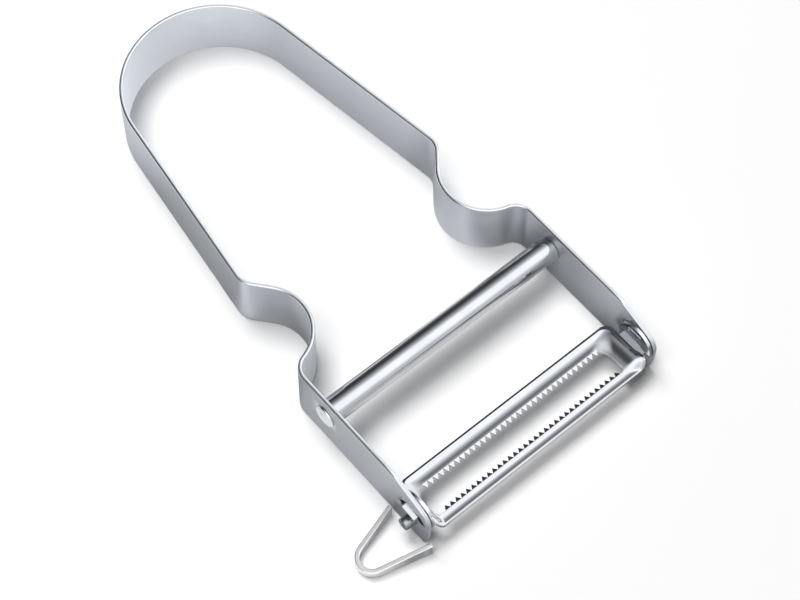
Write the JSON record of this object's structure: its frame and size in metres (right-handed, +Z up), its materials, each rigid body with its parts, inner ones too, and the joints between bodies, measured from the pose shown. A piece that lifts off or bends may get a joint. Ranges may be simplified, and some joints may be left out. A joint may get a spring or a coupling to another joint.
{
  "type": "serrated peeler",
  "caption": "Y-shaped metal peeler: bent strip handle with finger notches, riveted cross bar, swinging blade with a toothed slot, and a side loop for potato eyes.",
  "frame": {"origin": "middle of the bow on the lower edge of the handle strip, the edge the peeler lies on", "axes": "+Z up from that edge, +Y along the handle towards the bow with the blade at -Y, +X from the left arm to the right arm"},
  "size_m": [0.068, 0.112, 0.0132],
  "materials": {
    "satin_steel": "satin",
    "bar_steel": "polished",
    "blade_steel": "polished",
    "pin_steel": "polished",
    "loop_steel": "tumbled"
  },
  "bodies": {
    "frame": {"handle_strip": "satin_steel", "cross_bar": "bar_steel", "pivot_pin_left": "pin_steel", "pivot_pin_right": "pin_steel", "eye_remover": "loop_steel"},
    "swing_blade": {"blade": "blade_steel"}
  },
  "joints": [
    {"name": "blade_swing", "type": "hinge", "parent": "frame", "child": "swing_blade", "pos_m": [0, -0.10554, 0.0044], "axis": [1, 0, 0], "range_deg": [-25, 25]}
  ]
}
